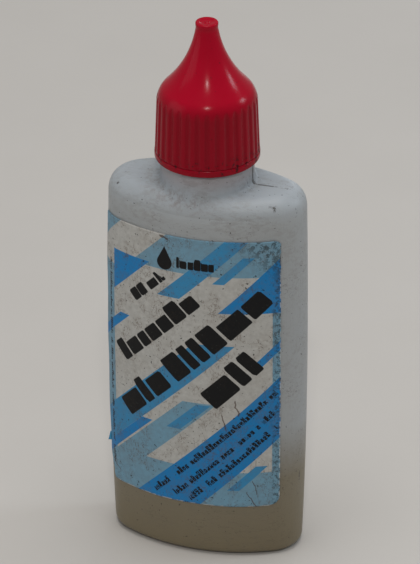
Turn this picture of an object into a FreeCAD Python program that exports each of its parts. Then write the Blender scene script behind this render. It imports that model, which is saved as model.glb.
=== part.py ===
import FreeCAD, Part
import math
import os
from FreeCAD import Vector

# Small oval squeeze bottle for oil, 50 ml. Millimetres, +Z up.
# The origin is the middle of the flat ring that the bottle stands on.
# The wide label face looks along -Y, and the neck is on the Z axis.

# Bottle body: an oval of two wide arcs and two end arcs
body_width = 42.6
body_depth = 22.4
end_radius = 7.8
body_height = 85.9
wall = 0.9
shoulder_radius = 4.0
base_radius = 2.2
# how far the wall stands outside the nominal oval, at fractions of the height
wall_bow = [(0.0, -0.62), (0.35, 0.22), (0.65, 0.36), (1.0, 0.0)]
push_up_height = 1.3
push_up_margin = 3.6

# Neck finish, 20 mm class, with one right-hand thread
collar_radius = 9.85
collar_top = 91.0
neck_radius = 8.75
neck_bore = 7.75
neck_top = 101.0
neck_blend = 1.0
thread_pitch = 3.2
thread_crest = 9.7
thread_start = 94.7
thread_turns = 1.5
thread_root_width = 1.5
thread_crest_width = 0.9
thread_bite = 0.3

# Spout insert, pushed into the neck
fit_gap = 0.03
insert_flange_radius = 8.6
insert_flange = 0.95
insert_skirt = 8.0
insert_wall = 0.9
insert_edge = 0.35
nozzle_root = 3.1
nozzle_tip = 1.5
nozzle_height = 8.6
nozzle_bore = 0.62
nozzle_mouth = 2.0

# Screw cap
cap_bottom = 91.5
cap_top = 122.15
cap_bore = 10.0
cap_roof = 102.15
band_radius = 11.05
band_height = 1.5
band_edge = 0.25
rib_foot_radius = 10.98
rib_head_radius = 10.57
rib_head = 103.8
rib_count = 32
flute_radius = 0.7
flute_offset = 0.32
flute_overrun = 3.0
cap_shoulder_radius = 5.5
cone_angle = 43.0
nose_sweep_radius = 24.0
nose_radius = 2.32
nose_lip = 0.07
nose_lip_height = 1.2
nose_dish_radius = 1.6
nose_dish_depth = 0.25
nose_gate_radius = 0.4
cap_thread_crest = 9.1
cap_thread_turns = 1.25
cavity_root = 7.6
cavity_neck = 3.2
cavity_neck_height = 108.6
cavity_top_radius = 1.7
cavity_top = 114.0
pin_radius = 0.54
pin_bottom = 109.2

# Front label, off centre towards -X, and the oil left in the bottle
label_gap = 0.03
label_thickness = 0.1
label_low = 12.8
label_high = 77.2
label_left = -23.2
label_right = 18.6
label_corner = 2.5
label_turn = 17.5
oil_level = 24.0
oil_gap = 0.05


def arc_radius(half_width, half_depth, corner):
    """Radius of the wide arc that runs smoothly into the end arcs."""
    reach = half_width - corner
    return (reach ** 2 / (half_depth - corner) + half_depth + corner) / 2


def oval(half_width, half_depth, corner, z):
    """Closed wire of two wide arcs and two end arcs, tangent to each other."""
    big = arc_radius(half_width, half_depth, corner)
    offset = big - half_depth
    reach = half_width - corner
    span = math.hypot(reach, offset)
    join_x = reach + corner * reach / span
    join_y = corner * offset / span
    right_back = Vector(join_x, join_y, z)
    left_back = Vector(-join_x, join_y, z)
    left_front = Vector(-join_x, -join_y, z)
    right_front = Vector(join_x, -join_y, z)
    arcs = [
        Part.Arc(right_back, Vector(0, half_depth, z), left_back),
        Part.Arc(left_back, Vector(-half_width, 0, z), left_front),
        Part.Arc(left_front, Vector(0, -half_depth, z), right_front),
        Part.Arc(right_front, Vector(half_width, 0, z), right_back),
    ]
    return Part.Wire([arc.toShape() for arc in arcs])


def edges_at(shape, z):
    """Edges of a shape that lie in the horizontal plane at z."""
    tolerance = 1e-4
    return [e for e in shape.Edges if abs(e.BoundBox.ZMin - z) < tolerance and abs(e.BoundBox.ZMax - z) < tolerance]


def body_form(inset):
    """The body's outer form moved inwards by inset, as one solid with rounded edges."""
    sections = []
    for fraction, bow in wall_bow:
        z = inset + fraction * (body_height - 2 * inset)
        grow = bow - inset
        sections.append(oval(body_width / 2 + grow, body_depth / 2 + grow, end_radius + grow, z))
    form = Part.makeLoft(sections, True)
    form = form.makeFillet(shoulder_radius - inset, edges_at(form, body_height - inset))
    form = form.makeFillet(base_radius - inset, edges_at(form, inset))
    return form.cut(push_up(inset))


def push_up(inset):
    """The hollow pressed up into the base, grown by inset for the inside of the wall."""
    grow = inset - push_up_margin
    low = oval(body_width / 2 + grow, body_depth / 2 + grow, end_radius + grow, 0)
    high_grow = grow - push_up_height
    high = oval(body_width / 2 + high_grow, body_depth / 2 + high_grow, end_radius + high_grow,
                push_up_height + inset)
    return Part.makeLoft([low, high], True)


def turned(outline):
    """Solid of revolution about Z from a list of (radius, height) points."""
    points = [Vector(radius, 0, height) for radius, height in outline]
    face = Part.Face(Part.makePolygon(points + points[:1]))
    return face.revolve(Vector(0, 0, 0), Vector(0, 0, 1), 360)


def thread_ridge(inner, outer, inner_width, outer_width, start, turns):
    """A helical ridge of trapezoid section between two radii."""
    helix = Part.makeHelix(thread_pitch, thread_pitch * turns, (inner + outer) / 2)
    section = Part.makePolygon([
        Vector(inner, 0, -inner_width / 2),
        Vector(outer, 0, -outer_width / 2),
        Vector(outer, 0, outer_width / 2),
        Vector(inner, 0, inner_width / 2),
        Vector(inner, 0, -inner_width / 2),
    ])
    ridge = Part.Wire(helix.Edges).makePipeShell([section], True, True)
    ridge.translate(Vector(0, 0, start))
    return ridge


def make_bottle():
    """Blown bottle: a thin oval shell with a threaded neck and a pushed-up base."""
    shell = body_form(0)
    foot = body_height - shoulder_radius
    collar = Part.makeCylinder(collar_radius, collar_top - foot, Vector(0, 0, foot))
    collar = collar.makeFillet(insert_edge, edges_at(collar, collar_top))
    finish = Part.makeCylinder(neck_radius, neck_top - foot, Vector(0, 0, foot))
    finish = finish.makeChamfer(insert_edge, edges_at(finish, neck_top))
    outside = shell.fuse(collar)
    seam = [e for e in outside.Edges if is_collar_seam(e)]
    outside = outside.makeFillet(neck_blend, seam)
    ridge = thread_ridge(neck_radius - thread_bite, thread_crest, thread_root_width, thread_crest_width,
                         thread_start, thread_turns)
    outside = outside.fuse([finish, ridge])
    cavity = body_form(wall)
    bore = Part.makeCylinder(neck_bore, neck_top - foot + 1, Vector(0, 0, foot))
    return outside.cut([cavity, bore]).removeSplitter()


def is_collar_seam(edge):
    """True for an edge where the collar meets the shoulder."""
    box = edge.BoundBox
    tolerance = 1e-3
    if box.ZMax > body_height + tolerance or box.ZMin < body_height - shoulder_radius + tolerance:
        return False
    samples = edge.discretize(5)
    return all(abs(math.hypot(p.x, p.y) - collar_radius) < tolerance for p in samples)


def make_spout_insert():
    """Dropper plug: a skirt in the neck, a flange on its rim and a nozzle with a fine bore."""
    skirt_radius = neck_bore - fit_gap
    flange_low = neck_top + fit_gap
    flange_high = flange_low + insert_flange
    skirt_low = flange_low - insert_skirt
    tip = flange_high + nozzle_height
    inner = skirt_radius - insert_wall
    deck = flange_low - insert_edge
    return turned([
        (inner, skirt_low),
        (skirt_radius - insert_edge, skirt_low),
        (skirt_radius, skirt_low + insert_edge),
        (skirt_radius, flange_low),
        (insert_flange_radius, flange_low),
        (insert_flange_radius, flange_high - insert_edge),
        (insert_flange_radius - insert_edge, flange_high),
        (nozzle_root + insert_edge, flange_high),
        (nozzle_root, flange_high + insert_edge),
        (nozzle_tip, tip - insert_edge),
        (nozzle_tip - insert_edge, tip),
        (nozzle_bore, tip),
        (nozzle_bore, tip - nozzle_height / 2),
        (nozzle_mouth, deck),
        (inner, deck),
    ])


def cap_outline():
    """Edges of the cap's outer profile, from the lower rim to the middle of the nose."""
    lean = math.radians(cone_angle)
    band_top = cap_bottom + band_height
    shoulder_end = Vector(rib_head_radius - cap_shoulder_radius * (1 - math.cos(lean)), 0,
                          rib_head + cap_shoulder_radius * math.sin(lean))
    shoulder_middle = Vector(rib_head_radius - cap_shoulder_radius * (1 - math.cos(lean / 2)), 0,
                             rib_head + cap_shoulder_radius * math.sin(lean / 2))
    up_cone = Vector(-math.sin(lean), 0, math.cos(lean))
    off_cone = Vector(math.cos(lean), 0, math.sin(lean))
    # the sweep is the arc that touches the cone and ends, still tapering, at the foot of the lip
    sweep_end = Vector(nose_radius, 0, cap_top - nose_lip_height)
    reach_up = (sweep_end - shoulder_end).dot(up_cone)
    reach_off = (sweep_end - shoulder_end).dot(off_cone)
    chord = math.sqrt(2 * nose_sweep_radius * reach_off - reach_off ** 2)
    half_turn = math.asin(chord / nose_sweep_radius) / 2
    sweep_start = shoulder_end + up_cone * (reach_up - chord)
    sweep_middle = (sweep_start + up_cone * (nose_sweep_radius * math.sin(half_turn))
                    + off_cone * (nose_sweep_radius * (1 - math.cos(half_turn))))
    foot = [
        Vector(cap_bore, 0, cap_bottom),
        Vector(band_radius - band_edge, 0, cap_bottom),
        Vector(band_radius, 0, cap_bottom + band_edge),
        Vector(band_radius, 0, band_top - band_edge / 2),
        Vector(rib_foot_radius, 0, band_top),
        Vector(rib_head_radius, 0, rib_head),
    ]
    head = [
        sweep_end,
        Vector(nose_radius + nose_lip, 0, cap_top - nose_lip_height / 2),
        Vector(nose_radius + nose_lip, 0, cap_top - band_edge),
        Vector(nose_radius, 0, cap_top),
        Vector(nose_dish_radius, 0, cap_top),
        Vector(nose_gate_radius, 0, cap_top - nose_dish_depth),
        Vector(nose_gate_radius, 0, cap_top - nose_dish_depth / 2),
        Vector(0, 0, cap_top - nose_dish_depth / 2),
    ]
    return (Part.makePolygon(foot).Edges
            + [Part.Arc(foot[-1], shoulder_middle, shoulder_end).toShape()]
            + [Part.LineSegment(shoulder_end, sweep_start).toShape()]
            + [Part.Arc(sweep_start, sweep_middle, sweep_end).toShape()]
            + Part.makePolygon(head).Edges)


def make_flutes():
    """The grooves between the grip ribs, leaning inwards with the cap's draft and open at the top."""
    low = cap_bottom + band_height
    high = rib_head + flute_overrun
    start = Vector(rib_foot_radius + flute_offset, 0, low)
    along = Vector(rib_head_radius - rib_foot_radius, 0, rib_head - low)
    along.normalize()
    groove = Part.makeCylinder(flute_radius, high - low, start, along)
    grooves = []
    for number in range(rib_count):
        copy = groove.copy()
        copy.rotate(Vector(0, 0, 0), Vector(0, 0, 1), number * 360 / rib_count)
        grooves.append(copy)
    return grooves


def make_screw_cap():
    """Ribbed screw cap with a long hollow nose and a pin that closes the nozzle."""
    inside = [
        Vector(0, 0, pin_bottom),
        Vector(pin_radius, 0, pin_bottom),
        Vector(pin_radius, 0, cavity_top),
        Vector(cavity_top_radius, 0, cavity_top),
        Vector(cavity_neck, 0, cavity_neck_height),
        Vector(cavity_root, 0, cap_roof),
        Vector(cap_bore, 0, cap_roof),
        Vector(cap_bore, 0, cap_bottom),
    ]
    axis = Part.LineSegment(Vector(0, 0, cap_top - nose_dish_depth / 2), inside[0]).toShape()
    edges = cap_outline() + [axis] + Part.makePolygon(inside).Edges
    face = Part.Face(Part.Wire(Part.__sortEdges__(edges)))
    body = face.revolve(Vector(0, 0, 0), Vector(0, 0, 1), 360)
    body = body.cut(make_flutes())
    ridge = thread_ridge(cap_thread_crest, cap_bore + thread_bite, thread_crest_width, thread_root_width,
                         thread_start - thread_pitch / 2, cap_thread_turns)
    return body.fuse(ridge).removeSplitter()


def surface_point(along):
    """Point on the nominal front outline at a distance along it from the middle, and its place in X and Y."""
    half_width = body_width / 2
    half_depth = body_depth / 2
    big = arc_radius(half_width, half_depth, end_radius)
    reach = half_width - end_radius
    join_angle = math.atan2(reach, big - half_depth)
    side = math.copysign(1, along)
    distance = abs(along)
    if distance <= big * join_angle:
        angle = distance / big
        return Vector(side * big * math.sin(angle), big - half_depth - big * math.cos(angle), 0)
    angle = join_angle + (distance - big * join_angle) / end_radius
    return Vector(side * (reach + end_radius * math.sin(angle)), -end_radius * math.cos(angle), 0)


def make_front_label():
    """Paper label: a thin sheet that follows the bottle's front and its left end."""
    sheet = body_form(-label_gap - label_thickness).cut(body_form(-label_gap))
    turn = math.radians(label_turn)
    across = Vector(math.cos(turn), -math.sin(turn), 0)
    left = surface_point(label_left).dot(across)
    right = surface_point(label_right).dot(across)
    block = Part.makeBox(right - left, body_width, label_high - label_low, Vector(left, -body_width, label_low))
    uprights = [e for e in block.Edges if abs(e.BoundBox.YLength - body_width) < 1e-4]
    block = block.makeFillet(label_corner, uprights)
    block.rotate(Vector(0, 0, 0), Vector(0, 0, 1), -label_turn)
    pieces = sheet.common(block).Solids
    return max(pieces, key=lambda piece: piece.Volume)


def make_oil_fill():
    """The oil that is left, filling the bottom of the bottle up to its level."""
    liquid = body_form(wall + oil_gap)
    slab = Part.makeBox(body_width, body_depth, oil_level, Vector(-body_width / 2, -body_depth / 2, 0))
    return liquid.common(slab)


makers = {
    "bottle": make_bottle,
    "spout_insert": make_spout_insert,
    "screw_cap": make_screw_cap,
    "front_label": make_front_label,
    "oil_fill": make_oil_fill,
}

os.makedirs("parts", exist_ok=True)
for name, maker in makers.items():
    shape = maker()
    shape.exportStep("parts/" + name + ".step")
    print(name, "valid", shape.isValid(), "solids", len(shape.Solids), "mm3", round(shape.Volume, 1))
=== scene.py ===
# %% [markdown]
# # A flat oil bottle with a dropper cap
#
# This lesson dresses a small squeeze bottle for oil. On the real object a blown shell of milky
# polyethylene holds the oil, a paper label is glued round its front, and a red screw cap with a long
# nose closes a dropper insert in the neck. The engineering model gives every size and place. What is
# left to make here is what the eye judges: soft moulded edges, fine grip ribs, the printed paper, the
# grime of a workshop and the oil that shines through the wall. Nothing from the frame is moved.

import math
import random

import bmesh
import bpy
from mathutils import Matrix, Vector


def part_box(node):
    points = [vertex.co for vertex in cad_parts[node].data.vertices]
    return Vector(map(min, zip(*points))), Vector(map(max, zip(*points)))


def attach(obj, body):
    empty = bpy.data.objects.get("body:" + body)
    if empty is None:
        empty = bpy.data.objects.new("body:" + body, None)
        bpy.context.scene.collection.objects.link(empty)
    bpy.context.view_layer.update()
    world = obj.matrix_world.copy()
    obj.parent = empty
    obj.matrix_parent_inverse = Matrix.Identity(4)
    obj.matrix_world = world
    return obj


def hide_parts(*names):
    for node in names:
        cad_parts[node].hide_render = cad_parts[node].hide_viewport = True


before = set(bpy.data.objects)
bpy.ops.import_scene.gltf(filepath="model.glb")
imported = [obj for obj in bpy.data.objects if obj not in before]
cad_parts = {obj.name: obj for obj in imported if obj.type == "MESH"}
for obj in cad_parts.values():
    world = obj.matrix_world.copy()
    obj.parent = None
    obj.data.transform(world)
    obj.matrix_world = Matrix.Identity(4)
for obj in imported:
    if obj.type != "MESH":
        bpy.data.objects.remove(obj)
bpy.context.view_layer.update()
print("nodes in the frame:", sorted(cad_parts))

# %% [markdown]
# ## Sizes
#
# Everything below is drawn in millimetres and turned into metres once, when a mesh is finished. Heights
# come from the boxes of the frame's nodes, so the bottle, the cap and the label always meet. The oval
# of the body is two wide arcs joined by two small end arcs. Its wall isn't straight: it stands a little
# proud in the middle and draws in at the base, as a blown bottle does when it shrinks off its mould.
# The threads of the neck and the cap share one ridge, whose run-in is a share of a turn.

# %% Sizes in millimetres
MM = 0.001
neck_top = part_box("bottle")[1].z / MM
cap_low, cap_high = (corner.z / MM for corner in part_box("screw_cap"))
label_low, label_high = (corner.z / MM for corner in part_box("front_label"))
oil_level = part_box("oil_fill")[1].z / MM

half_width, half_depth, end_radius = 21.3, 11.2, 7.8
body_height = neck_top - 15.1
shoulder_radius, base_radius, wall = 4.0, 2.2, 0.9
wall_bow = ((0.0, -0.62), (0.35, 0.22), (0.65, 0.36), (1.0, 0.0))
collar_radius, collar_top, neck_radius, neck_bore = 9.85, cap_low - 0.5, 8.75, 7.75
collar_foot, collar_blend, bore_blend = 87.4, 1.0, 0.4
thread_pitch, thread_start = 3.2, neck_top - 6.3
ridge_half, ridge_flank, ridge_run_in = 0.82, 0.42, 0.06
neck_ridge, neck_turns, cap_ridge, cap_turns = 0.95, 1.5, 0.9, 1.25
merge_distance, tolerance = 1e-5, 1e-4

reach = half_width - end_radius
face_radius = (reach ** 2 / (half_depth - end_radius) + half_depth + end_radius) / 2
face_offset = face_radius - half_depth
join_angle = math.atan2(reach, face_offset)
print("body %.1f mm high, cap %.1f mm high, wide arc %.1f mm"
      % (body_height, cap_high - cap_low, face_radius))

# %% [markdown]
# ## Camera, light and floor
#
# A small bottle is looked at from above and from a good distance, with a long lens, so its sides stay
# almost parallel. The camera is set first because every later choice is judged through it. A large
# ceiling lamp, another low on the left and a pale sky give the soft light of a room. Glints say how
# glossy a thing is, and each needs a small lamp of its own: one overhead draws the glint on the cap's
# shoulder and the streak on its nose, a window on the right the glint on that side, and a low one
# behind the pale right edge.

# %% Camera
look_turn, look_rise, look_roll = (math.radians(angle) for angle in (16.87, 29.0, -0.21))
camera_distance, lens_length, film_height = 1.065, 213.8, 24.0

back = Vector((math.sin(look_turn) * math.cos(look_rise), -math.cos(look_turn) * math.cos(look_rise),
               math.sin(look_rise)))
level = Vector((math.cos(look_turn), math.sin(look_turn), 0))
upright = back.cross(level)
right = math.cos(look_roll) * level + math.sin(look_roll) * upright
up = math.cos(look_roll) * upright - math.sin(look_roll) * level
aim = Vector((0, 0, 53.25)) + 0.42 * right + 6.73 * up

camera = bpy.data.objects.new("studio_camera", bpy.data.cameras.new("studio_camera"))
bpy.context.scene.collection.objects.link(camera)
axes = Matrix((right, up, back)).transposed().to_4x4()
camera.matrix_world = Matrix.Translation(aim * MM + camera_distance * back) @ axes
camera.data.sensor_fit = "VERTICAL"
camera.data.sensor_height = film_height
camera.data.lens = lens_length
bpy.context.scene.camera = camera
print("camera stands %.2f m away" % camera_distance)


# %% Lamps and sky
lamp_aim = Vector((0, 0, 0.06))


def add_lamp(name, turn, rise, distance, size, power, tint):
    """A square soft lamp, placed by its turn and rise as seen from the bottle, and facing it."""
    turn, rise = math.radians(turn), math.radians(rise)
    away = Vector((math.sin(turn) * math.cos(rise), -math.cos(turn) * math.cos(rise), math.sin(rise)))
    lamp = bpy.data.objects.new(name, bpy.data.lights.new(name, "AREA"))
    bpy.context.scene.collection.objects.link(lamp)
    lamp.location = lamp_aim + away * distance
    lamp.rotation_euler = away.to_track_quat("Z", "Y").to_euler()
    lamp.data.size = size
    lamp.data.energy = power
    lamp.data.color = tint
    lamp.visible_camera = False


add_lamp("ceiling_lamp", 17, 88, 1.25, 0.8, 8.0, (1.0, 0.985, 0.96))
add_lamp("overhead_lamp", 17, 45, 0.90, 0.05, 1.3, (1.0, 0.98, 0.95))
add_lamp("window_lamp", 115, 26, 0.85, 0.16, 1.1, (0.80, 0.90, 1.0))
add_lamp("rim_lamp", 178, 12, 1.00, 0.25, 0.6, (0.85, 0.92, 1.0))
add_lamp("side_lamp", -60, 14, 1.20, 0.80, 1.6, (0.92, 0.96, 1.0))
sky = bpy.data.worlds.new("pale_sky")
sky.use_nodes = True
sky.node_tree.nodes["Background"].inputs["Color"].default_value = (0.94, 0.97, 1.0, 1)
sky.node_tree.nodes["Background"].inputs["Strength"].default_value = 0.29
bpy.context.scene.world = sky
bpy.context.scene.view_settings.view_transform = "Standard"

# %% [markdown]
# ## Shader maths that reads as maths
#
# Every finish below is worked out by nodes, with no pictures. Written node by node, a mask soon fills a
# page, so one small class wraps a socket and overloads the operators: `mask * (1 - dirt)` adds the Math
# nodes by itself. One method adds any other node. Its settings go in before its sockets, because some
# settings, such as an operation or a ramp's stops, change which sockets there are.


# %% The wire class
class Wire:
    """A shader socket that can stand in a sum, a product or a comparison."""

    def __init__(self, tree, socket):
        self.tree = tree
        self.socket = socket

    def node(self, kind, settings=None, sockets=None, output=0):
        """Adds a node of any kind: settings first, then the values or links of its sockets."""
        new = self.tree.nodes.new(kind)
        for key, value in (settings or {}).items():
            if key == "stops":
                set_stops(new.color_ramp, value)
            else:
                setattr(new, key, value)
        for key, value in (sockets or {}).items():
            if isinstance(value, Wire):
                self.tree.links.new(value.socket, new.inputs[key])
            else:
                new.inputs[key].default_value = value
        return Wire(self.tree, new.outputs[output])

    def math(self, operation, *values):
        return self.node("ShaderNodeMath", {"operation": operation}, dict(enumerate(values)))

    def __add__(self, other):
        return self.math("ADD", self, other)

    __radd__ = __add__

    def __mul__(self, other):
        return self.math("MULTIPLY", self, other)

    __rmul__ = __mul__

    def __sub__(self, other):
        return self.math("SUBTRACT", self, other)

    def __rsub__(self, other):
        return self.math("SUBTRACT", other, self)

    def __or__(self, other):
        return self.math("MAXIMUM", self, other)

    def __abs__(self):
        return self.math("ABSOLUTE", self)

    def above(self, edge, soft):
        """1 where the value is over the edge, 0 under it, with a soft step between."""
        limits = {"From Min": edge - soft / 2, "From Max": edge + soft / 2}
        return self.node("ShaderNodeMapRange", {"clamp": True}, {"Value": self, **limits})

    def below(self, edge, soft):
        return 1 - self.above(edge, soft)

    def between(self, low, high, soft):
        return self.above(low, soft) * self.below(high, soft)

    def tint(self, start, end):
        """Mixes two colours, with this value as the share of the second."""
        return self.node("ShaderNodeMix", {"data_type": "RGBA"}, {0: self, 6: start, 7: end}, 2)

    def parts(self):
        """The X, Y and Z of a vector."""
        split = self.tree.nodes.new("ShaderNodeSeparateXYZ")
        self.tree.links.new(self.socket, split.inputs[0])
        return [Wire(self.tree, out) for out in split.outputs]

    def noise(self, size, detail=2.0, rough=0.5):
        """Cloudy values about 0.5, with spots of about this size in millimetres."""
        sockets = {"Vector": self, "Scale": 1 / (size * MM), "Detail": detail, "Roughness": rough}
        return self.node("ShaderNodeTexNoise", {}, sockets)

    def stretched_from(self, spot, radii):
        """The place measured from a spot in millimetres, in units of three radii."""
        shift = [-centre / radius for centre, radius in zip(spot, radii)]
        scale = [1 / (radius * MM) for radius in radii]
        return self.node("ShaderNodeMapping", {}, {"Vector": self, "Location": shift, "Scale": scale})

    def stretched(self, turn, scale):
        """A vector field turned and scaled, for streaks and scratches."""
        return self.node("ShaderNodeMapping", {}, {"Vector": self, "Rotation": turn, "Scale": scale})


def set_stops(ramp, stops):
    """Gives a colour ramp its stops as (place, colour) pairs."""
    for number, (place, colour) in enumerate(stops):
        element = ramp.elements[number] if number < 2 else ramp.elements.new(place)
        element.position = place
        element.color = colour


def new_finish(name, constants):
    """A Principled material with its constant values set. Returns it, its shader and its object wire."""
    material = bpy.data.materials.new(name)
    material.use_nodes = True
    tree = material.node_tree
    shader = tree.nodes["Principled BSDF"]
    for key, value in constants.items():
        shader.inputs[key].default_value = value
    place = tree.nodes.new("ShaderNodeTexCoord").outputs["Object"]
    return material, shader, Wire(tree, place)


def any_of(masks):
    """1 where any of the masks is 1."""
    total = masks[0]
    for mask in masks[1:]:
        total = total | mask
    return total


def off_axis(x, y):
    """Distance from the bottle's upright axis."""
    square = x * x + y * y
    return square.math("SQRT", square)


def plug(wire, shader, name):
    """Links a wire to one of the shader's sockets."""
    wire.tree.links.new(wire.socket, shader.inputs[name])


def bump(height, depth, shader):
    """Feeds a height through a Bump node, its full range being depth in millimetres."""
    bumped = height.node("ShaderNodeBump", {}, {"Height": height, "Strength": 1.0, "Distance": depth * MM})
    plug(bumped, shader, "Normal")


print("shader helpers ready")

# %% [markdown]
# ## Floor
#
# The floor only receives the shadow. A finished surface still needs a trace of texture, or the light
# lies on it like paint on glass, so a faint noise moves its colour and its height.

# %% Floor
floor_half = 1.5
bm = bmesh.new()
bmesh.ops.create_grid(bm, x_segments=1, y_segments=1, size=floor_half)
floor_mesh = bpy.data.meshes.new("floor")
bm.to_mesh(floor_mesh)
bm.free()
floor = bpy.data.objects.new("floor", floor_mesh)
bpy.context.scene.collection.objects.link(floor)

floor_finish, shader, place = new_finish("pale_floor", {"Roughness": 0.55, "Specular IOR Level": 0.3})
cloud = place.noise(40.0, 3.0)
plug(cloud.tint((0.55, 0.52, 0.485, 1), (0.59, 0.56, 0.525, 1)), shader, "Base Color")
bump(place.noise(0.8, 2.0), 0.02, shader)
floor_mesh.materials.append(floor_finish)
print("floor is %.0f m across" % (2 * floor_half))

# %% [markdown]
# ## The blown bottle
#
# A blown bottle is one skin with an outside and an inside. It could be a box with its edges rounded,
# but its cross-section changes all the way up: a rounded foot with a hollow pressed into it, bowed
# walls, a shoulder that runs out under a round collar, and a threaded neck. So it is lofted. One ring
# of points is extruded again and again, and each new ring is laid on the outline that the bottle has
# at that height. The same ring goes over the rim and down the inside, so the wall has its real
# thickness and the mesh is closed. Each point remembers its turn, which is its share of the way round.


# %% Outlines of the body
def bow(height):
    """How far the wall stands outside the nominal oval: one smooth cubic through four places."""
    share = min(max(height / body_height, 0), 1)
    total = 0
    for here, value in wall_bow:
        for other, _ in wall_bow:
            if other != here:
                value *= (share - other) / (here - other)
        total += value
    return total


def oval_spot(turn, grow):
    """X and Y on the oval, moved out by grow. Turn runs from 0 at +X, through +Y, once round to 1."""
    quarter, part = divmod(turn * 4 % 4, 1)
    if quarter in (1, 3):
        part = 1 - part
    end_length = end_radius * (math.pi / 2 - join_angle)
    along = part * (end_length + face_radius * join_angle)
    if along < end_length:
        angle = along / end_radius
        x = reach + (end_radius + grow) * math.cos(angle)
        y = (end_radius + grow) * math.sin(angle)
    else:
        angle = math.pi / 2 - join_angle + (along - end_length) / face_radius
        x = (face_radius + grow) * math.cos(angle)
        y = (face_radius + grow) * math.sin(angle) - face_offset
    return (-x if quarter in (1, 2) else x), (-y if quarter in (2, 3) else y)


def circle_spot(turn, radius):
    return radius * math.cos(math.tau * turn), radius * math.sin(math.tau * turn)


def shoulder_height(x, y, inset):
    """Height of the shoulder above a place, on the outside or, with an inset, on the inside of the wall."""
    across = abs(x) - reach
    if across > 0 and math.atan2(abs(y), across) < math.pi / 2 - join_angle:
        edge = end_radius - math.hypot(across, y)
    else:
        edge = face_radius - math.hypot(x, abs(y) + face_offset)
    radius = shoulder_radius - inset
    edge = min(max(edge - inset, 0), radius)
    return body_height - inset - radius + math.sqrt(radius ** 2 - (radius - edge) ** 2)


def soft_step(value):
    value = min(max(value, 0), 1)
    return value * value * (3 - 2 * value)


def thread_ridge(turn, height, start, turns):
    """0 to 1: how much of a moulded thread's ridge stands at this place."""
    centre_turns = (height - start) / thread_pitch
    lap = round(centre_turns - turn) + turn
    off_centre = abs(centre_turns - lap) * thread_pitch
    run_in = soft_step(lap / ridge_run_in) * soft_step((turns - lap) / ridge_run_in)
    return run_in * soft_step((ridge_half - off_centre) / ridge_flank)


print("half width at mid height: %.2f mm" % (half_width + bow(body_height / 2)))


# %% Rings of the body
def oval_ring(grow, height):
    """A ring on the body's oval at one height, moved out by grow from the bowed wall."""
    return lambda turn: (*oval_spot(turn, grow + bow(height)), height)


def circle_ring(radius, height):
    return lambda turn: (*circle_spot(turn, radius), height)


def threaded_ring(height):
    """A ring on the neck, with the thread's ridge standing out of it."""
    def place(turn):
        ridge = neck_ridge * thread_ridge(turn, height, thread_start, neck_turns)
        return *circle_spot(turn, neck_radius + ridge), height
    return place


def shoulder_ring(mix, inset, radius, blend):
    """A ring on the shoulder, a share mix of the way from the oval to the neck's circle."""
    def place(turn):
        outer = Vector(oval_spot(turn, -inset))
        inner = Vector(circle_spot(turn, radius))
        spot = outer.lerp(inner, mix)
        height = shoulder_height(spot.x, spot.y, inset)
        near = min(max(spot.length - radius, 0), blend)
        rise = blend - math.sqrt(max(blend ** 2 - (blend - near) ** 2, 0))
        return spot.x, spot.y, height + rise
    return place


def steps(start, end, count):
    """Evenly spaced values from start to end, both included."""
    return [start + (end - start) * number / (count - 1) for number in range(count)]


def shoulder_mixes():
    """Shares that crowd together where the shoulder curves and where it meets the collar."""
    span = half_width - collar_radius
    first = [shoulder_radius * (1 - math.cos(a)) / span for a in steps(0.08, math.pi / 2, 12)]
    last = [1 - (1 - math.cos(a)) / span for a in steps(math.pi / 2, 0, 8)]
    return first + steps(first[-1], last[0], 9)[1:-1] + last


def base_curve(inset):
    """Rings round the foot's rounded edge, from its underside to its wall."""
    radius = base_radius - inset
    return [oval_ring(-inset - radius * (1 - math.sin(a)), inset + radius * (1 - math.cos(a)))
            for a in steps(0, math.pi / 2, 9)]


# growth or radius, then height, of the rings that aren't worked out by a formula
hollow = ((-6.9, 1.3), (-5.6, 1.3), (-4.95, 1.27), (-4.55, 1.1), (-4.1, 0.55), (-3.8, 0.16), (-3.55, 0.02),
          (-3.3, 0.0), (-2.7, 0.0))
inner_hollow = ((-2.9, 0.9), (-3.2, 1.02), (-3.6, 1.55), (-3.95, 2.08), (-4.4, 2.2), (-5.6, 2.2), (-6.9, 2.2))
wall_heights = steps(base_radius + 2, body_height - shoulder_radius, 34)
collar_edge = ((9.85, collar_top - 0.35), (9.8, collar_top - 0.16), (9.68, collar_top - 0.04),
               (9.5, collar_top), (9.05, collar_top), (8.85, collar_top + 0.05), (8.75, collar_top + 0.2))
rim = ((8.75, neck_top - 0.35), (8.55, neck_top - 0.1), (8.35, neck_top), (8.05, neck_top),
       (7.85, neck_top - 0.05), (7.75, neck_top - 0.2))

rings = [oval_ring(grow, height) for grow, height in hollow]
rings += base_curve(0)
rings += [oval_ring(0, height) for height in wall_heights]
rings += [shoulder_ring(mix, 0, collar_radius, collar_blend) for mix in shoulder_mixes()]
rings += [circle_ring(collar_radius, height) for height in steps(collar_foot, collar_top - 0.8, 4)]
rings += [circle_ring(radius, height) for radius, height in collar_edge]
rings += [threaded_ring(height) for height in steps(collar_top + 1.6, neck_top - 0.6, 44)]
rings += [circle_ring(radius, height) for radius, height in rim]
rings += [circle_ring(neck_bore, height) for height in steps(neck_top - 2, body_height + 0.2, 6)]
rings += [shoulder_ring(mix, wall, neck_bore, bore_blend) for mix in reversed(shoulder_mixes())]
rings += [oval_ring(-wall, height) for height in reversed(wall_heights)]
rings += list(reversed(base_curve(wall)))
rings += [oval_ring(grow, height) for grow, height in inner_hollow]
print(len(rings), "rings")


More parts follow.
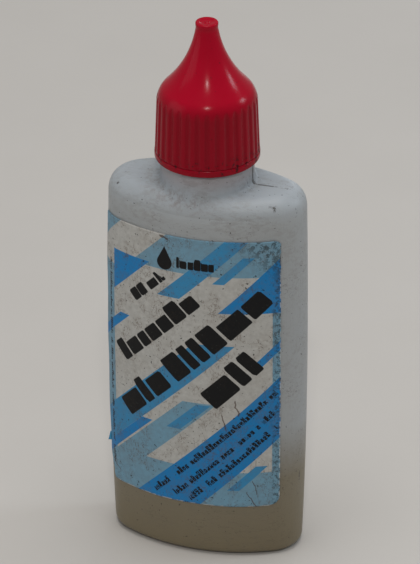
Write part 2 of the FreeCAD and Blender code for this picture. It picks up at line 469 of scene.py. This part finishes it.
# %% Loft the bottle
def finish_piece(bm, name, body, replaced=None):
    """Closes a mesh drawn in millimetres, puts it in metres, and hands it to its body."""
    bmesh.ops.remove_doubles(bm, verts=bm.verts, dist=merge_distance)
    bmesh.ops.recalc_face_normals(bm, faces=bm.faces)
    bmesh.ops.scale(bm, vec=(MM, MM, MM), verts=bm.verts)
    for face in bm.faces:
        face.smooth = True
    mesh = bpy.data.meshes.new(name)
    bm.to_mesh(mesh)
    bm.free()
    piece = bpy.data.objects.new(name, mesh)
    bpy.context.scene.collection.objects.link(piece)
    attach(piece, body)
    if replaced:
        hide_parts(replaced)
    print(name, "has", len(mesh.vertices), "vertices")
    return piece


def next_ring(bm, ring, turns, place):
    """Extrudes an open ring of edges, and lays each new vertex where its turn belongs."""
    made = bmesh.ops.extrude_edge_only(bm, edges=ring)["geom"]
    fresh = {item for item in made if isinstance(item, bmesh.types.BMVert)}
    for vertex in fresh:
        vertex.co = place(vertex[turns])
    return [item for item in made if isinstance(item, bmesh.types.BMEdge) and set(item.verts) <= fresh]


round_count = 240
bm = bmesh.new()
turns = bm.verts.layers.float.new("turn")
bmesh.ops.create_circle(bm, segments=round_count, radius=1)
for vertex in bm.verts:
    vertex[turns] = math.atan2(vertex.co.y, vertex.co.x) / math.tau % 1
    vertex.co = rings[0](vertex[turns])
ring = bm.edges[:]
bmesh.ops.contextual_create(bm, geom=ring)
for place_ring in rings[1:]:
    ring = next_ring(bm, ring, turns, place_ring)
bmesh.ops.contextual_create(bm, geom=ring)
bottle = finish_piece(bm, "bottle_shell", "bottle", "bottle")

# %% [markdown]
# ## The screw cap
#
# The cap is moulded in one shot: a plain band at the mouth, fine grip ribs, a round shoulder, and a
# nose that sweeps up into a small lip with the mark of the moulding gate in it. Inside are the thread,
# a roof, a hollow for the nozzle and the pin that plugs it. All of it is round, so one profile is
# drawn and spun. The ribs and the thread aren't round, but they are only small changes of radius. So
# the profile is spun in many fine steps, and then each point's radius is changed by a formula. The
# grooves run straight up until the round shoulder curves in under them, as they do in a real mould.

# %% Profile of the cap
cap_bore, band_radius, band_height = 10.0, 11.05, 1.5
rib_foot, rib_head_radius, rib_head = 10.98, 10.57, cap_high - 18.35
cap_curve, sweep_curve, nose_radius, nose_foot = 5.5, 24.0, 2.32, cap_high - 1.2
lean = math.radians(43)
roof, pin_low, cavity_top = cap_high - 20.0, cap_high - 12.95, cap_high - 8.15


def arc(centre, radius, start, end, count):
    """Profile points along an arc, with its angles measured from the +radius direction."""
    angles = steps(start, end, count)
    return [(centre[0] + radius * math.cos(a), centre[1] + radius * math.sin(a)) for a in angles]


def line(start, end, count):
    return list(zip(steps(start[0], end[0], count), steps(start[1], end[1], count)))


# the sweep is the arc that touches the cone and ends, still tapering, at the foot of the lip
up_cone = Vector((-math.sin(lean), math.cos(lean)))
off_cone = Vector((math.cos(lean), math.sin(lean)))
curve_end = Vector((rib_head_radius - cap_curve * (1 - math.cos(lean)),
                    rib_head + cap_curve * math.sin(lean)))
to_nose = Vector((nose_radius, nose_foot)) - curve_end
reach_up, reach_off = to_nose.dot(up_cone), to_nose.dot(off_cone)
chord = math.sqrt(2 * sweep_curve * reach_off - reach_off ** 2)
sweep_foot = curve_end + up_cone * (reach_up - chord)
sweep_centre = sweep_foot + off_cone * sweep_curve
taper = lean - math.asin(chord / sweep_curve)
band_top = cap_low + band_height

profile = [(0, cap_high - 0.1), (0.3, cap_high - 0.1), (0.4, cap_high - 0.16), (0.46, cap_high - 0.26),
           (1.0, cap_high - 0.24), (1.45, cap_high - 0.1), (1.62, cap_high - 0.02), (1.8, cap_high)]
profile += arc((2.07, cap_high - 0.32), 0.32, math.pi / 2, 0, 5)
profile += [(2.39, cap_high - 0.7), (2.36, cap_high - 0.95)]
profile += arc(sweep_centre, sweep_curve, math.pi + taper, math.pi + lean, 28)
profile += line(sweep_foot, curve_end, 4)[1:-1]
profile += arc((rib_head_radius - cap_curve, rib_head), cap_curve, lean, 0, 28)
profile += line((rib_head_radius, rib_head), (rib_foot, band_top + 0.05), 28)[1:]
profile += arc((band_radius - 0.3, band_top - 0.32), 0.3, math.pi / 2, 0, 5)
profile += arc((band_radius - 0.3, cap_low + 0.3), 0.3, 0, -math.pi / 2, 6)
profile += [(10.3, cap_low), (10.12, cap_low + 0.05), (cap_bore, cap_low + 0.2)]
profile += line((cap_bore, cap_low + 0.6), (cap_bore, thread_start + 4.2), 38)
profile += line((cap_bore, thread_start + 4.6), (cap_bore, roof - 0.2), 4)
profile += [(9.94, roof - 0.06), (9.8, roof), (7.7, roof), (7.5, roof + 0.15), (3.2, roof + 6.45),
            (1.75, cavity_top - 0.2), (1.6, cavity_top), (0.62, cavity_top), (0.54, cavity_top - 0.1),
            (0.54, pin_low + 0.15), (0.42, pin_low), (0, pin_low)]
print(len(profile), "profile points, the nose tapers by %.1f degrees at its lip" % math.degrees(taper))

# %% Spin the cap
rib_count, rib_depth, spin_steps = 32, 0.32, 384
groove_edge, groove_round, groove_foot = 0.25, 0.8, 0.3
grooved_beyond = 9.6

bm = bmesh.new()
chain = [bm.verts.new((radius, 0, height)) for radius, height in profile]
edges = [bm.edges.new(pair) for pair in zip(chain, chain[1:])]
bmesh.ops.spin(bm, geom=chain + edges, cent=(0, 0, 0), axis=(0, 0, 1), dvec=(0, 0, 0), angle=math.tau,
               steps=spin_steps, use_merge=True)


def groove_floor(turn, height):
    """Radius of the grip ribs' surface: straight round-bottomed grooves, open at the top."""
    wave = math.cos(math.tau * turn * rib_count)
    depth = rib_depth * (max(0, groove_edge - wave) / (1 + groove_edge)) ** groove_round
    depth *= soft_step((height - band_top) / groove_foot)
    share = (height - band_top) / (rib_head - band_top)
    return rib_foot + (rib_head_radius - rib_foot) * share - depth


for vertex in bm.verts:
    radius = math.hypot(vertex.co.x, vertex.co.y)
    height = vertex.co.z
    turn = math.atan2(vertex.co.y, vertex.co.x) / math.tau % 1
    change = 0
    if radius > grooved_beyond and band_top < height:
        change = min(0, groove_floor(turn, height) - radius)
    if abs(radius - cap_bore) < tolerance:
        change = -cap_ridge * thread_ridge(turn, height, thread_start - thread_pitch / 2, cap_turns)
    stretch = (radius + change) / radius if radius else 1
    vertex.co.x *= stretch
    vertex.co.y *= stretch
cap = finish_piece(bm, "cap_shell", "screw_cap", "screw_cap")

# %% [markdown]
# ## The paper label
#
# The label is a sheet of coated paper that was rolled onto the bottle a little off centre, so that it
# runs further round the left end. A flat grid is laid on the wall: its width becomes distance along
# the oval, and its height stays height. Years of oily fingers have lifted it in places. The edges
# stand off the wall by a hair, the lower left corner is torn, and one tab of it sticks out. The same
# flat place that shapes the sheet is kept in its UV map, and the print is worked out from that, so the
# pattern follows the paper round the end.

# %% The label's sheet
label_left, label_right = -23.2, 18.6
label_width, label_height = label_right - label_left, label_high - label_low
low_corner, high_corner, tear_height = 2.4, 1.1, label_low + 6.2
paper, glue = 0.1, 0.03
ripple_lift, loose_lift, loose_width = 0.03, 0.10, 1.6


def wall_spot(along, lift):
    """X and Y on the front of the body, at a distance along it from the middle, lifted off the wall."""
    side = math.copysign(1, along)
    face_length = face_radius * join_angle
    if abs(along) < face_length:
        angle = abs(along) / face_radius
        radius = face_radius + lift
        return side * radius * math.sin(angle), face_offset - radius * math.cos(angle)
    angle = join_angle + (abs(along) - face_length) / end_radius
    return side * (reach + (end_radius + lift) * math.sin(angle)), -(end_radius + lift) * math.cos(angle)


def corner_inset(height):
    """How far the label's rounded corners draw its side edges in at a height."""
    inset = 0
    for gap, radius in ((height - label_low, low_corner), (label_high - height, high_corner)):
        if gap < radius:
            inset = radius - math.sqrt(radius ** 2 - (radius - gap) ** 2)
    return inset


def tear_inset(height):
    """How far the torn lower left corner is drawn in, with a ragged edge."""
    depth = max(0, tear_height - height)
    return 0.42 * depth + 0.18 * math.sin(3.1 * height) * soft_step(depth)


random.seed(11)
waves = [(random.uniform(0.15, 0.5), random.uniform(0.1, 0.4), random.uniform(0, 6)) for _ in range(6)]


def paper_lift(along, height):
    """How far the paper stands off the wall: slow ripples, and edges that have let go."""
    ripple = sum(math.sin(a * along + b * height + c) for a, b, c in waves) / len(waves)
    edge = min(along - label_left, label_right - along, height - label_low, label_high - height)
    sway = 0.5 + 0.5 * math.sin(0.35 * height + 0.4 * along)
    return ripple_lift * (1 + ripple) + loose_lift * soft_step(1 - edge / loose_width) * sway


def thicken(sheet, offset):
    """Gives a sheet the paper's thickness: inwards with an offset of -1, to both sides with 0."""
    thickness = sheet.modifiers.new("paper", "SOLIDIFY")
    thickness.thickness = paper * MM
    thickness.offset = offset


bm = bmesh.new()
print_map = bm.loops.layers.uv.new("print")
bmesh.ops.create_grid(bm, x_segments=130, y_segments=170, size=1)
for vertex in bm.verts:
    height = label_low + label_height * (vertex.co.y + 1) / 2
    inset = corner_inset(height)
    start = label_left + max(inset, tear_inset(height))
    end = label_right - inset
    vertex.co = (start + (end - start) * (vertex.co.x + 1) / 2, height, 0)
for face in bm.faces:
    for loop in face.loops:
        spot = loop.vert.co
        loop[print_map].uv = ((spot.x - label_left) / label_width, (spot.y - label_low) / label_height)
for vertex in bm.verts:
    along, height = vertex.co.x, vertex.co.y
    lift = bow(height) + glue + paper + paper_lift(along, height)
    vertex.co = (*wall_spot(along, lift), height)
label = finish_piece(bm, "label_sheet", "bottle", "front_label")
thicken(label, -1)

# %% The lifted tab
tab_low, tab_tall, tab_reach = label_low + 7.9, 2.1, 1.0
bm = bmesh.new()
bmesh.ops.create_grid(bm, x_segments=12, y_segments=12, size=1)
for vertex in bm.verts:
    up_share = (vertex.co.y + 1) / 2
    out = (vertex.co.x + 1) / 2 * tab_reach * (1 - 0.75 * up_share)
    height = tab_low + tab_tall * up_share
    foot = wall_spot(label_left + 0.3, bow(height) + glue + paper + 0.07)
    vertex.co = (foot[0] - 0.75 * out, foot[1] + 0.4 * out - 0.35 * out ** 2, height - 0.12 * out)
tab = finish_piece(bm, "label_tab", "bottle")
thicken(tab, 0)

# %% [markdown]
# ## Printing the label
#
# The print is diagonal bands in three blues on off-white, cut level at their ends. Every band runs at
# 45 degrees, so one number, height minus distance along, says which side of an edge a place is on. A
# band is then two limits on that number and two on the height, and the order of the list is the order
# of printing. The lettering of such a label is only its maker's. Plain blocks in its place keep its
# weight and rhythm and say nothing, and a drop marks what is inside.

# %% Print colours and bands
paper_white = (0.50, 0.49, 0.46, 1)
light_blue = (0.17, 0.33, 0.44, 1)
mid_blue = (0.035, 0.25, 0.48, 1)
deep_blue = (0.001, 0.205, 0.51, 1)
ink_black = (0.004, 0.004, 0.0045, 1)
far = 200.0

# colour, lowest and highest rise (height minus along), lowest and highest height, left and right limit
bands = [
    (light_blue, -far, far, label_low - 1, 66.0, label_left - 1, -19.3),
    (light_blue, -far, far, label_low - 1, 60.2, 16.9, far),
    (light_blue, 94.4, far, 70.0, far, -far, far),
    (light_blue, -far, 83.0, 68.8, far, -far, far),
    (mid_blue, 65.4, 70.4, 62.6, far, -far, far),
    (mid_blue, 60.3, 62.8, 67.1, 73.5, -far, far),
    (deep_blue, 79.5, far, 20.0, 69.8, -19.3, far),
    (deep_blue, -far, 54.7, 60.2, far, -far, far),
    (deep_blue, 70.1, 72.6, 20.0, 55.2, -far, far),
    (mid_blue, 43.4, 52.2, 14.0, 52.4, -far, far),
    (deep_blue, 40.8, 43.4, 14.0, 31.5, -far, far),
    (light_blue, 32.9, 40.2, 14.0, 38.0, -far, far),
    (mid_blue, 33.7, 36.8, 30.9, 37.6, -far, far),
    (light_blue, 20.0, 40.2, 0.0, 21.9, -far, far),
    (light_blue, -far, 11.5, 0.0, 21.3, -far, far),
    (mid_blue, 6.9, 9.5, 16.8, 22.9, -far, far),
    (deep_blue, 32.7, 35.0, 47.3, far, -far, far),
    (deep_blue, 11.3, 26.2, 0.0, far, -far, far),
]
print(len(bands), "printed bands")


# %% Blocks that stand for lettering
# base line, full height, start along it, gap, then the width and height share of each block
slanted_rows = [
    (42.2, 4.7, 20.2, 0.55, ((2.3, 1), (3.5, 0.7), (2.2, 0.7), (3.2, 0.7), (3.2, 0.7), (3.4, 1), (3.5, 0.7))),
    (32.2, 5.9, 11.7, 0.80, ((5.6, 0.75), (2.2, 1), (4.6, 0.75))),
    (32.2, 6.0, 27.8, 0.80, ((4.2, 1), (2.2, 1), (2.2, 1), (4.2, 1), (6.5, 0.75), (5.2, 0.75))),
    (22.5, 6.2, 29.8, 1.00, ((7.2, 0.8), (2.5, 1), (2.5, 1))),
    (51.2, 2.7, 33.0, 0.35, ((1.9, 1), (1.9, 1))),
    (51.2, 2.7, 38.2, 0.35, ((2.7, 0.7), (0.8, 1), (0.6, 0.3))),
]
level_rows = [
    (69.9, 2.6, -3.4, 0.30, ((0.6, 1), (1.3, 0.7), (1.2, 0.7), (1.2, 1), (1.3, 0.7), (0.9, 0.7))),
]
small_lines = ((15.9, 3.8, 41.5), (12.7, 7.4, 37.5), (9.8, 9.2, 35.5))
run_length = 80.0


def block_stops(start, gap, blocks):
    """Ramp stops for a row: red climbs from 0 to 1 over each block's ends, green holds its height."""
    stops = []
    here = start
    for width, share in blocks:
        end = min(0.55, width * 0.3)
        for place, level in ((here, 0), (here + end, 1), (here + width - end, 1), (here + width, 0)):
            stops.append((place / run_length, (level, share, 0, 1)))
        here += width + gap
    return stops


print(len(slanted_rows) + len(level_rows), "rows of blocks,", len(small_lines), "lines of small print")


# %% Label finish
def printed_bands(along, height):
    """The bands in printing order over the paper's own colour."""
    rise = height - along
    colour = None
    soft = 0.12
    for ink, low, high, bottom, top, left, right_limit in bands:
        mask = rise.above(low, soft) if low > -far else None
        limits = [(rise, high, "below"), (height, bottom, "above"), (height, top, "below"),
                  (along, left, "above"), (along, right_limit, "below")]
        for value, edge, side in limits:
            if abs(edge) < far and not (value is height and edge <= label_low - 1):
                step = getattr(value, side)(edge, soft)
                mask = step if mask is None else mask * step
        colour = mask.tint(colour or paper_white, ink)
    return colour


def block_row(run, across, base, full, start, gap, blocks):
    """1 on a row of round-cornered blocks that stand on one base line."""
    shift = min(start, 0)
    ramp = run.node("ShaderNodeValToRGB", {"stops": block_stops(start - shift, gap, blocks)},
                    {"Fac": (run - shift) * (1 / run_length)})
    edge, share, _ = ramp.parts()
    corner = 1 - edge
    cube = corner * corner * corner
    left_over = 1 - cube * cube
    round_edge = left_over.math("POWER", left_over, 1 / 6)
    half = share * (full / 2)
    return (half * round_edge - abs(across - base - half)).above(0.0, 0.12) * edge.above(0.02, 0.02)


def small_print(run, across, base, start, end, cell, grain):
    """1 on a line of tiny uneven marks with word spaces between them."""
    place = run * (1 / cell)
    number = place.math("FLOOR", place)
    chance = number.node("ShaderNodeTexWhiteNoise", {"noise_dimensions": "1D"}, {"W": number + base})
    rise = cell * (1.15 + 0.65 * chance.above(0.66, 0.01))
    row = across.above(base, 0.12) * (base + rise - across).above(0, 0.12) * run.between(start, end, 0.1)
    return row * chance.above(0.13, 0.01) * (place - number).below(0.84, 0.1) * grain


def lettering(along, height, grain):
    """1 on the blocks and on the small print."""
    run = (along + height) * math.sqrt(0.5)
    across = (height - along) * math.sqrt(0.5)
    rows = [block_row(run, across, *row) for row in slanted_rows]
    rows += [block_row(along, height, *row) for row in level_rows]
    rows += [small_print(run, across, base, start, end, 0.88, grain) for base, start, end in small_lines]
    rows.append(small_print(height, along, -20.9, 16.5, 67.0, 0.5, grain))
    return any_of(rows)


def drop_mark(along, height):
    """A plain drop: a round belly with a point above it."""
    side = abs(along + 6.1)
    rise = height - 70.6
    belly = (side * side + rise * rise).below(2.9, 0.4)
    point = (side + rise * 0.5).below(1.9, 0.1) * rise.above(0.7, 0.05)
    return belly | point


def scratches(place, size, thin):
    """Thin wandering lines: the places where a cloudy value passes its middle."""
    return abs(place.noise(size, 3.0, 0.6) - 0.5).below(thin, thin)


# start and end of each crack in the paper, as distance along and height, and its half width
cracks = [
    (8.9, 39.3, 9.9, 35.4, 0.13),
    (6.3, 35.6, 7.2, 31.6, 0.10),
    (11.4, 16.3, 13.7, 12.8, 0.12),
    (12.7, 19.2, 13.8, 16.0, 0.10),
    (-7.0, 76.8, -5.3, 76.1, 0.22),
    (-21.4, 17.6, -18.6, 15.4, 0.12),
]


def stroke(across, rise, start_x, start_y, end_x, end_y, half):
    """1 within a half width of the straight stretch between two places."""
    run_x, run_y = end_x - start_x, end_y - start_y
    length = math.hypot(run_x, run_y)
    run_x, run_y = run_x / length, run_y / length
    from_x, from_y = across - start_x, rise - start_y
    side = abs(from_x * run_y - from_y * run_x)
    return side.below(half, 0.1) * (from_x * run_x + from_y * run_y).between(0.0, length, 0.3)


def label_finish():
    """Coated paper: stained ground, print, rubbed edges and painted highlight, then scratches and greasy
    specks over all.
    """
    material, shader, place = new_finish("printed_paper", {"Specular IOR Level": 0.22})
    uv = place.node("ShaderNodeUVMap", {"uv_map": "print"})
    u, v, _ = uv.parts()
    along = u * label_width + label_left
    height = v * label_height + label_low
    mottle = place.noise(1.0, 4.0, 0.7)
    colour = printed_bands(along, height)
    colour = (mottle.above(0.50, 0.30) * 0.20).tint(colour, (0.12, 0.11, 0.095, 1))
    stain = place.noise(8.0, 3.0).above(0.52, 0.25) * place.noise(1.8, 4.0, 0.7).above(0.5, 0.25)
    colour = (stain * 0.22).tint(colour, (0.17, 0.12, 0.075, 1))
    grain = place.noise(0.30, 1.0).above(0.40, 0.06)
    ink = lettering(along, height, grain) | drop_mark(along, height)
    colour = ink.tint(colour, ink_black)
    # wear and painted highlight: the left, right and lower edges are painted paler than the paper, as rubbed
    # paper and as light caught on the edges
    rub_width, rub_soft = 0.18, 0.16
    gaps = (along - label_left, label_right - along, height - label_low)
    edge = any_of([gap.below(rub_width, rub_soft) for gap in gaps])
    rubbed_and_highlit = edge * place.noise(1.5, 3.0, 0.6).above(0.50, 0.1)
    colour = (rubbed_and_highlit * 0.75).tint(colour, (0.62, 0.60, 0.56, 1))
    patch = place.noise(9.0, 2.0).above(0.46, 0.12)
    slanted = place.stretched((0, 0.7, 0), (1, 1, 0.45))
    lines = scratches(place, 3.4, 0.008) * patch | scratches(slanted, 1.6, 0.009)
    lines = lines * place.noise(4.0, 2.0).above(0.50, 0.1) * (1 - 0.85 * ink)
    colour = (lines * 0.55).tint(colour, (0.10, 0.062, 0.036, 1))
    sway_scale, sway_width = 700.0, 1.2
    sway = place.node("ShaderNodeTexNoise", {}, {"Vector": place, "Scale": sway_scale}, 1)
    sway_u, sway_v, _ = sway.parts()
    bent_along = along + sway_width * (sway_u - 0.5)
    bent_height = height + sway_width * (sway_v - 0.5)
    torn = any_of([stroke(bent_along, bent_height, *crack) for crack in cracks])
    colour = (torn * 0.8).tint(colour, (0.07, 0.036, 0.022, 1))
    corner = (along + height).above(86.5, 7.0) * place.noise(1.1, 4.0, 0.75).above(0.515, 0.06)
    side = along.above(17.0, 1.0) * place.noise(0.8, 4.0, 0.75).above(0.525, 0.06)
    speck = place.noise(0.6, 2.0).above(0.70, 0.03) | corner * 0.8 | side * 0.75
    colour = (speck * 0.85).tint(colour, (0.022, 0.024, 0.02, 1))
    plug(colour, shader, "Base Color")
    plug(0.42 + 0.25 * mottle, shader, "Roughness")
    bump(place.noise(2.5, 3.0) + 0.25 * mottle - 0.15 * lines, 0.05, shader)
    return material


label.data.materials.append(label_finish())
print("label nodes:", len(label.data.materials[0].node_tree.nodes))

# %% [markdown]
# ## Tab paper
#
# The tab is the light blue of the label's border. It needs no print, only the paper's grain.


# %% Tab finish
def tab_finish():
    material, shader, place = new_finish("blue_paper", {"Roughness": 0.5, "Specular IOR Level": 0.35})
    grain = place.noise(0.8, 3.0)
    plug(grain.tint((0.02, 0.23, 0.42, 1), (0.06, 0.31, 0.52, 1)), shader, "Base Color")
    bump(grain, 0.02, shader)
    return material


tab.data.materials.append(tab_finish())
print("tab is %.1f mm long" % tab_reach)

# %% [markdown]
# ## Red cap plastic
#
# The cap is dyed polyethylene: a deep crimson with a soft shine, brighter where it is rubbed. Its ribs
# and band are painted darker as painted shade, and grease has settled on the band. The grooves between
# the ribs and the inside are painted darker still, as painted shade found by radius: a place that lies
# deeper than the rib tops gets it. Fine scratches run every way in the bump.


# %% Cap finish
def cap_finish():
    material, shader, place = new_finish("crimson_plastic", {"Specular IOR Level": 0.12})
    x, y, z = place.parts()
    radius = off_axis(x, y)
    # painted shade: the ribs and the band, below the shoulder, are painted darker than the crown
    shaded_sides = z.below((rib_head + 2.0) * MM, 3.2 * MM)
    # painted shade: the grooves between the ribs and the inside of the cap, found by radius, are painted
    # darker
    deep = (radius + 0.037 * (z - band_top * MM)).below((rib_foot - 0.12) * MM, 0.2 * MM) * shaded_sides
    cloud = place.noise(6.0, 3.0)
    colour = cloud.tint((0.345, 0.0012, 0.013, 1), (0.41, 0.0022, 0.019, 1))
    colour = (shaded_sides * 0.60).tint(colour, (0.205, 0.001, 0.008, 1))
    colour = (deep * 0.15).tint(colour, (0.14, 0.001, 0.005, 1))
    band = z.below((band_top + 2.0) * MM, 1.5 * MM)
    right_side = 0.035 * x.above(5.0 * MM, 4.0 * MM)
    grease = (place.noise(0.9, 3.0, 0.6) + right_side).above(0.62, 0.04) * band
    dirt = grease | place.noise(0.6, 2.0).above(0.745, 0.03)
    colour = (dirt * 0.85).tint(colour, (0.03, 0.004, 0.005, 1))
    plug(colour, shader, "Base Color")
    scuff = place.noise(1.6, 4.0, 0.7)
    plug(0.15 + 0.10 * scuff + 0.3 * dirt, shader, "Roughness")
    scratch = place.stretched((0.3, 0.2, 0.9), (1.0, 0.06, 1.0)).noise(0.25, 2.0)
    bump(scuff + 0.4 * scratch, 0.010, shader)
    return material


cap.data.materials.append(cap_finish())
print("cap finish ready")

# %% [markdown]
# ## Milky bottle plastic
#
# Natural polyethylene is neither white nor clear: light goes in, scatters and comes out again nearby,
# so the wall looks soft and slightly blue. Its shoulder and top are painted lighter and bluer still, a
# painted reflection of the pale sky. Below the oil level the brown oil shows through and darkens it,
# and the liquid's edge is blurred by the wall. That is painted from the height. Clear plastic shading
# would let the room behind show, which this wall never does, so the colour carries it, with some light
# scattering under the surface. Grime gathers round the neck, and the mould's parting line runs up both
# ends as a faint ridge.


# %% Bottle finish
# place and half sizes in millimetres of the marks that years in a toolbox left on the wall, and how much
# of each the broken grime leaves open
marks = [
    ((9.0, -4.5, 86.0), (0.22, 0.22, 0.22), 0.10),
    ((-18.0, -5.1, 84.5), (0.60, 0.30, 0.25), 0.47),
    ((21.2, -2.3, 17.9), (0.5, 0.25, 1.5), 0.45),
    ((20.3, -3.9, 83.0), (0.8, 0.5, 1.3), 0.53),
    ((16.0, -6.0, 84.0), (1.4, 0.9, 0.9), 0.55),
    ((-11.0, -7.6, 84.6), (0.30, 0.16, 0.16), 0.30),
]


def near(place, spot, radii):
    """1 inside a small egg round a spot, with a soft edge."""
    centred = place.stretched_from(spot, radii)
    return centred.node("ShaderNodeVectorMath", {"operation": "LENGTH"}, {0: centred}, 1).below(1.0, 0.5)


def bottle_finish():
    material, shader, place = new_finish("milky_plastic", {
        "Specular IOR Level": 0.40, "Subsurface Weight": 0.30, "Subsurface Radius": (0.0024, 0.0026, 0.0028),
        "Subsurface Scale": 1.0})
    x, y, z = place.parts()
    cloud = place.noise(16.0, 2.0)
    colour = cloud.tint((0.335, 0.348, 0.352, 1), (0.375, 0.388, 0.392, 1))
    # painted reflection: the shoulder and the top are painted lighter and bluer, as the pale sky lights them
    top = z.above((body_height - 1.5) * MM, 7.0 * MM)
    colour = (top * 0.8).tint(colour, (0.37, 0.415, 0.46, 1))
    wobble = place.noise(12.0, 2.0) * (3.0 * MM)
    filled = (z + wobble).below((oil_level + 3.0) * MM, 13.0 * MM)
    deep = z.below(oil_level * 0.4 * MM, 14.0 * MM)
    oil_colour = deep.tint((0.20, 0.168, 0.110, 1), (0.185, 0.146, 0.080, 1))
    colour = (filled * 0.95).tint(colour, oil_colour)
    radius = off_axis(x, y)
    neck = radius.below(12.8 * MM, 4.5 * MM) * z.between((body_height - 3.0) * MM, 87.2 * MM, 2.4 * MM)
    collar = z.above(88.0 * MM, 3.0 * MM)
    colour = (collar * 0.5).tint(colour, (0.34, 0.27, 0.265, 1))
    front_left = (x * 0.9 + y).below(-8.0 * MM, 7.0 * MM)
    fine = place.noise(1.2, 4.0, 0.75)
    grime = neck * (0.15 + 0.85 * front_left) * fine.above(0.53, 0.16)
    colour = (grime * 0.40).tint(colour, (0.17, 0.10, 0.06, 1))
    streaks = place.stretched((0, 0.2, 0), (0.35, 1, 1)).noise(0.9, 4.0, 0.75)
    smear = place.noise(7.0, 3.0, 0.6).above(0.50, 0.2) * streaks.above(0.52, 0.12)
    colour = (smear * 0.22).tint(colour, (0.17, 0.14, 0.10, 1))
    patch = place.noise(10.0, 2.0).above(0.53, 0.1)
    lines = scratches(place.stretched((0, 0.25, 0), (0.4, 1, 1.3)), 2.2, 0.006) * patch
    colour = (lines * 0.5).tint(colour, (0.10, 0.08, 0.06, 1))
    seam = abs(y).below(0.12 * MM, 0.12 * MM) * z.below(collar_top * MM, 1.0 * MM)
    gum_width = 0.22 * MM + 0.33 * MM * x.below(10.4 * MM, 0.5 * MM)
    gummed = (gum_width - abs(y)).above(0.0, 0.12 * MM) * x.between(9.2 * MM, 15.2 * MM, 0.4 * MM)
    gummed = gummed * z.above((body_height - 3.0) * MM, 0.5 * MM)
    gummed = gummed * place.noise(1.1, 3.0, 0.7).above(0.41, 0.10)
    placed = [near(place, spot, radii) * fine.above(cover, 0.06) for spot, radii, cover in marks]
    speck = any_of([place.noise(0.7, 2.0).above(0.72, 0.03), gummed] + placed)
    colour = (speck * 0.8).tint(colour, (0.045, 0.036, 0.028, 1))
    plug(colour, shader, "Base Color")
    scuff = place.noise(1.2, 4.0, 0.7)
    plug(0.34 + 0.2 * scuff, shader, "Roughness")
    scratch = place.stretched((0.5, 0.1, 0.4), (1.0, 1.0, 0.05)).noise(0.35, 2.0)
    bump(scuff * 0.5 + 0.25 * scratch + 0.8 * seam + place.noise(9.0, 1.0), 0.08, shader)
    return material


bottle.data.materials.append(bottle_finish())
print("bottle finish ready")

# %% [markdown]
# ## Pieces that keep their engineering shape
#
# The dropper insert sits inside the cap and the oil inside the bottle, so their engineering meshes are
# shown as they are, with a finish of their own: the insert in clean milky plastic, the oil as a thick
# brown liquid with a glossy top.


# %% Insert and oil
def insert_finish():
    material, shader, place = new_finish("insert_plastic", {
        "Subsurface Weight": 0.2, "Subsurface Radius": (0.002, 0.002, 0.002)})
    grain = place.noise(1.5, 3.0)
    plug(grain.tint((0.60, 0.60, 0.57, 1), (0.68, 0.68, 0.65, 1)), shader, "Base Color")
    plug(0.32 + 0.12 * grain, shader, "Roughness")
    bump(grain, 0.01, shader)
    return material


def oil_finish():
    material, shader, place = new_finish("brown_oil", {"Roughness": 0.08, "Coat Weight": 0.3})
    cloud = place.noise(10.0, 2.0)
    plug(cloud.tint((0.16, 0.11, 0.04, 1), (0.20, 0.14, 0.055, 1)), shader, "Base Color")
    return material


for node, finish in (("spout_insert", insert_finish()), ("oil_fill", oil_finish())):
    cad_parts[node].data.materials.clear()
    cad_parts[node].data.materials.append(finish)
print("insert and oil dressed")
